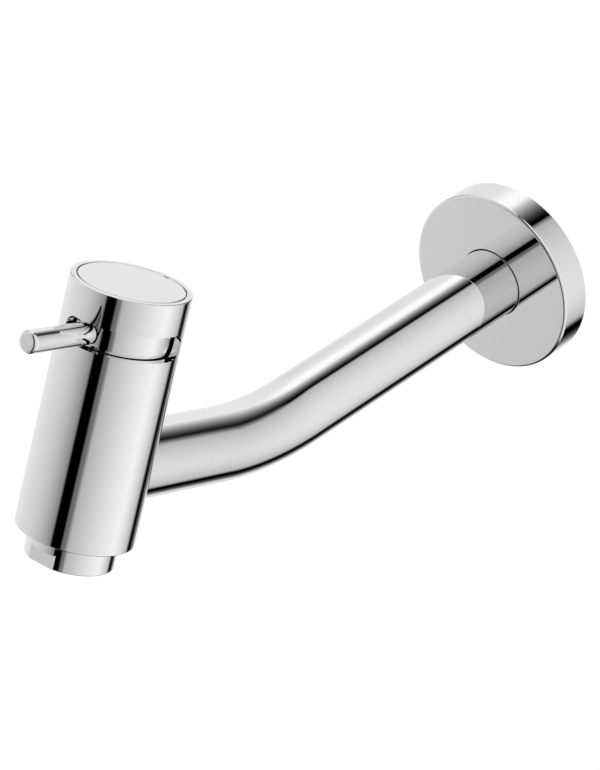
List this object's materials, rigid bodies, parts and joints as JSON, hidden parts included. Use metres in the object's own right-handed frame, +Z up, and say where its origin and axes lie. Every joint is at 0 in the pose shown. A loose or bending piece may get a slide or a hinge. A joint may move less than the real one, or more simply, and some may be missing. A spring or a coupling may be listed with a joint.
{
  "type": "basin tap",
  "caption": "Wall-mounted basin tap: round flange, bent tube spout rising to a tilted round head with a pin lever in a side slot, quarter-turn cartridge and aerator outlet.",
  "frame": {"origin": "centre of the inlet nipple on the wall's face", "axes": "+Y goes into the wall along the inlet, the tap stands out towards -Y, +Z is up, and +X is the side towards which the lever opens"},
  "size_m": [0.07, 0.27, 0.1348],
  "materials": {
    "chrome": "bright polished chrome plate",
    "brass": "turned, unplated",
    "steel": "plain stainless",
    "rubber": "moulded black",
    "ceramic": "lapped white",
    "plastic": "moulded off-white"
  },
  "bodies": {
    "tap_body": {"wall_flange": "chrome", "spout_tube": "chrome", "head_shell": "chrome", "cover_disc": "chrome", "aerator_housing": "chrome", "inlet_nipple": "brass", "tube_end_sleeve": "brass", "valve_body": "brass", "cartridge_housing": "brass", "spout_set_screw": "steel", "flange_wall_gasket": "rubber", "flange_grip_ring": "rubber", "inlet_o_rings": "rubber", "cover_o_ring": "rubber", "cartridge_seal_ring": "rubber", "cartridge_base_seal": "rubber", "aerator_gasket": "rubber", "regulator_ring": "rubber", "fixed_ceramic_disc": "ceramic", "aerator_strainer": "plastic", "flow_regulator": "plastic", "aerator_insert": "plastic", "aerator_outlet_grid": "plastic"},
    "lever": {"lever_pin": "chrome", "lever_hub": "chrome", "hub_slide_ring": "plastic", "spline_insert": "plastic", "hub_screw": "steel", "spindle": "brass", "spindle_o_rings": "rubber", "thrust_washer": "plastic", "spindle_clip": "steel", "moving_ceramic_disc": "ceramic"}
  },
  "joints": [
    {"name": "lever_turn", "type": "hinge", "parent": "tap_body", "child": "lever", "pos_m": [0, -0.22887, 0.0302], "axis": [0, 0.342, 0.9397], "range_deg": [0, 90]}
  ]
}
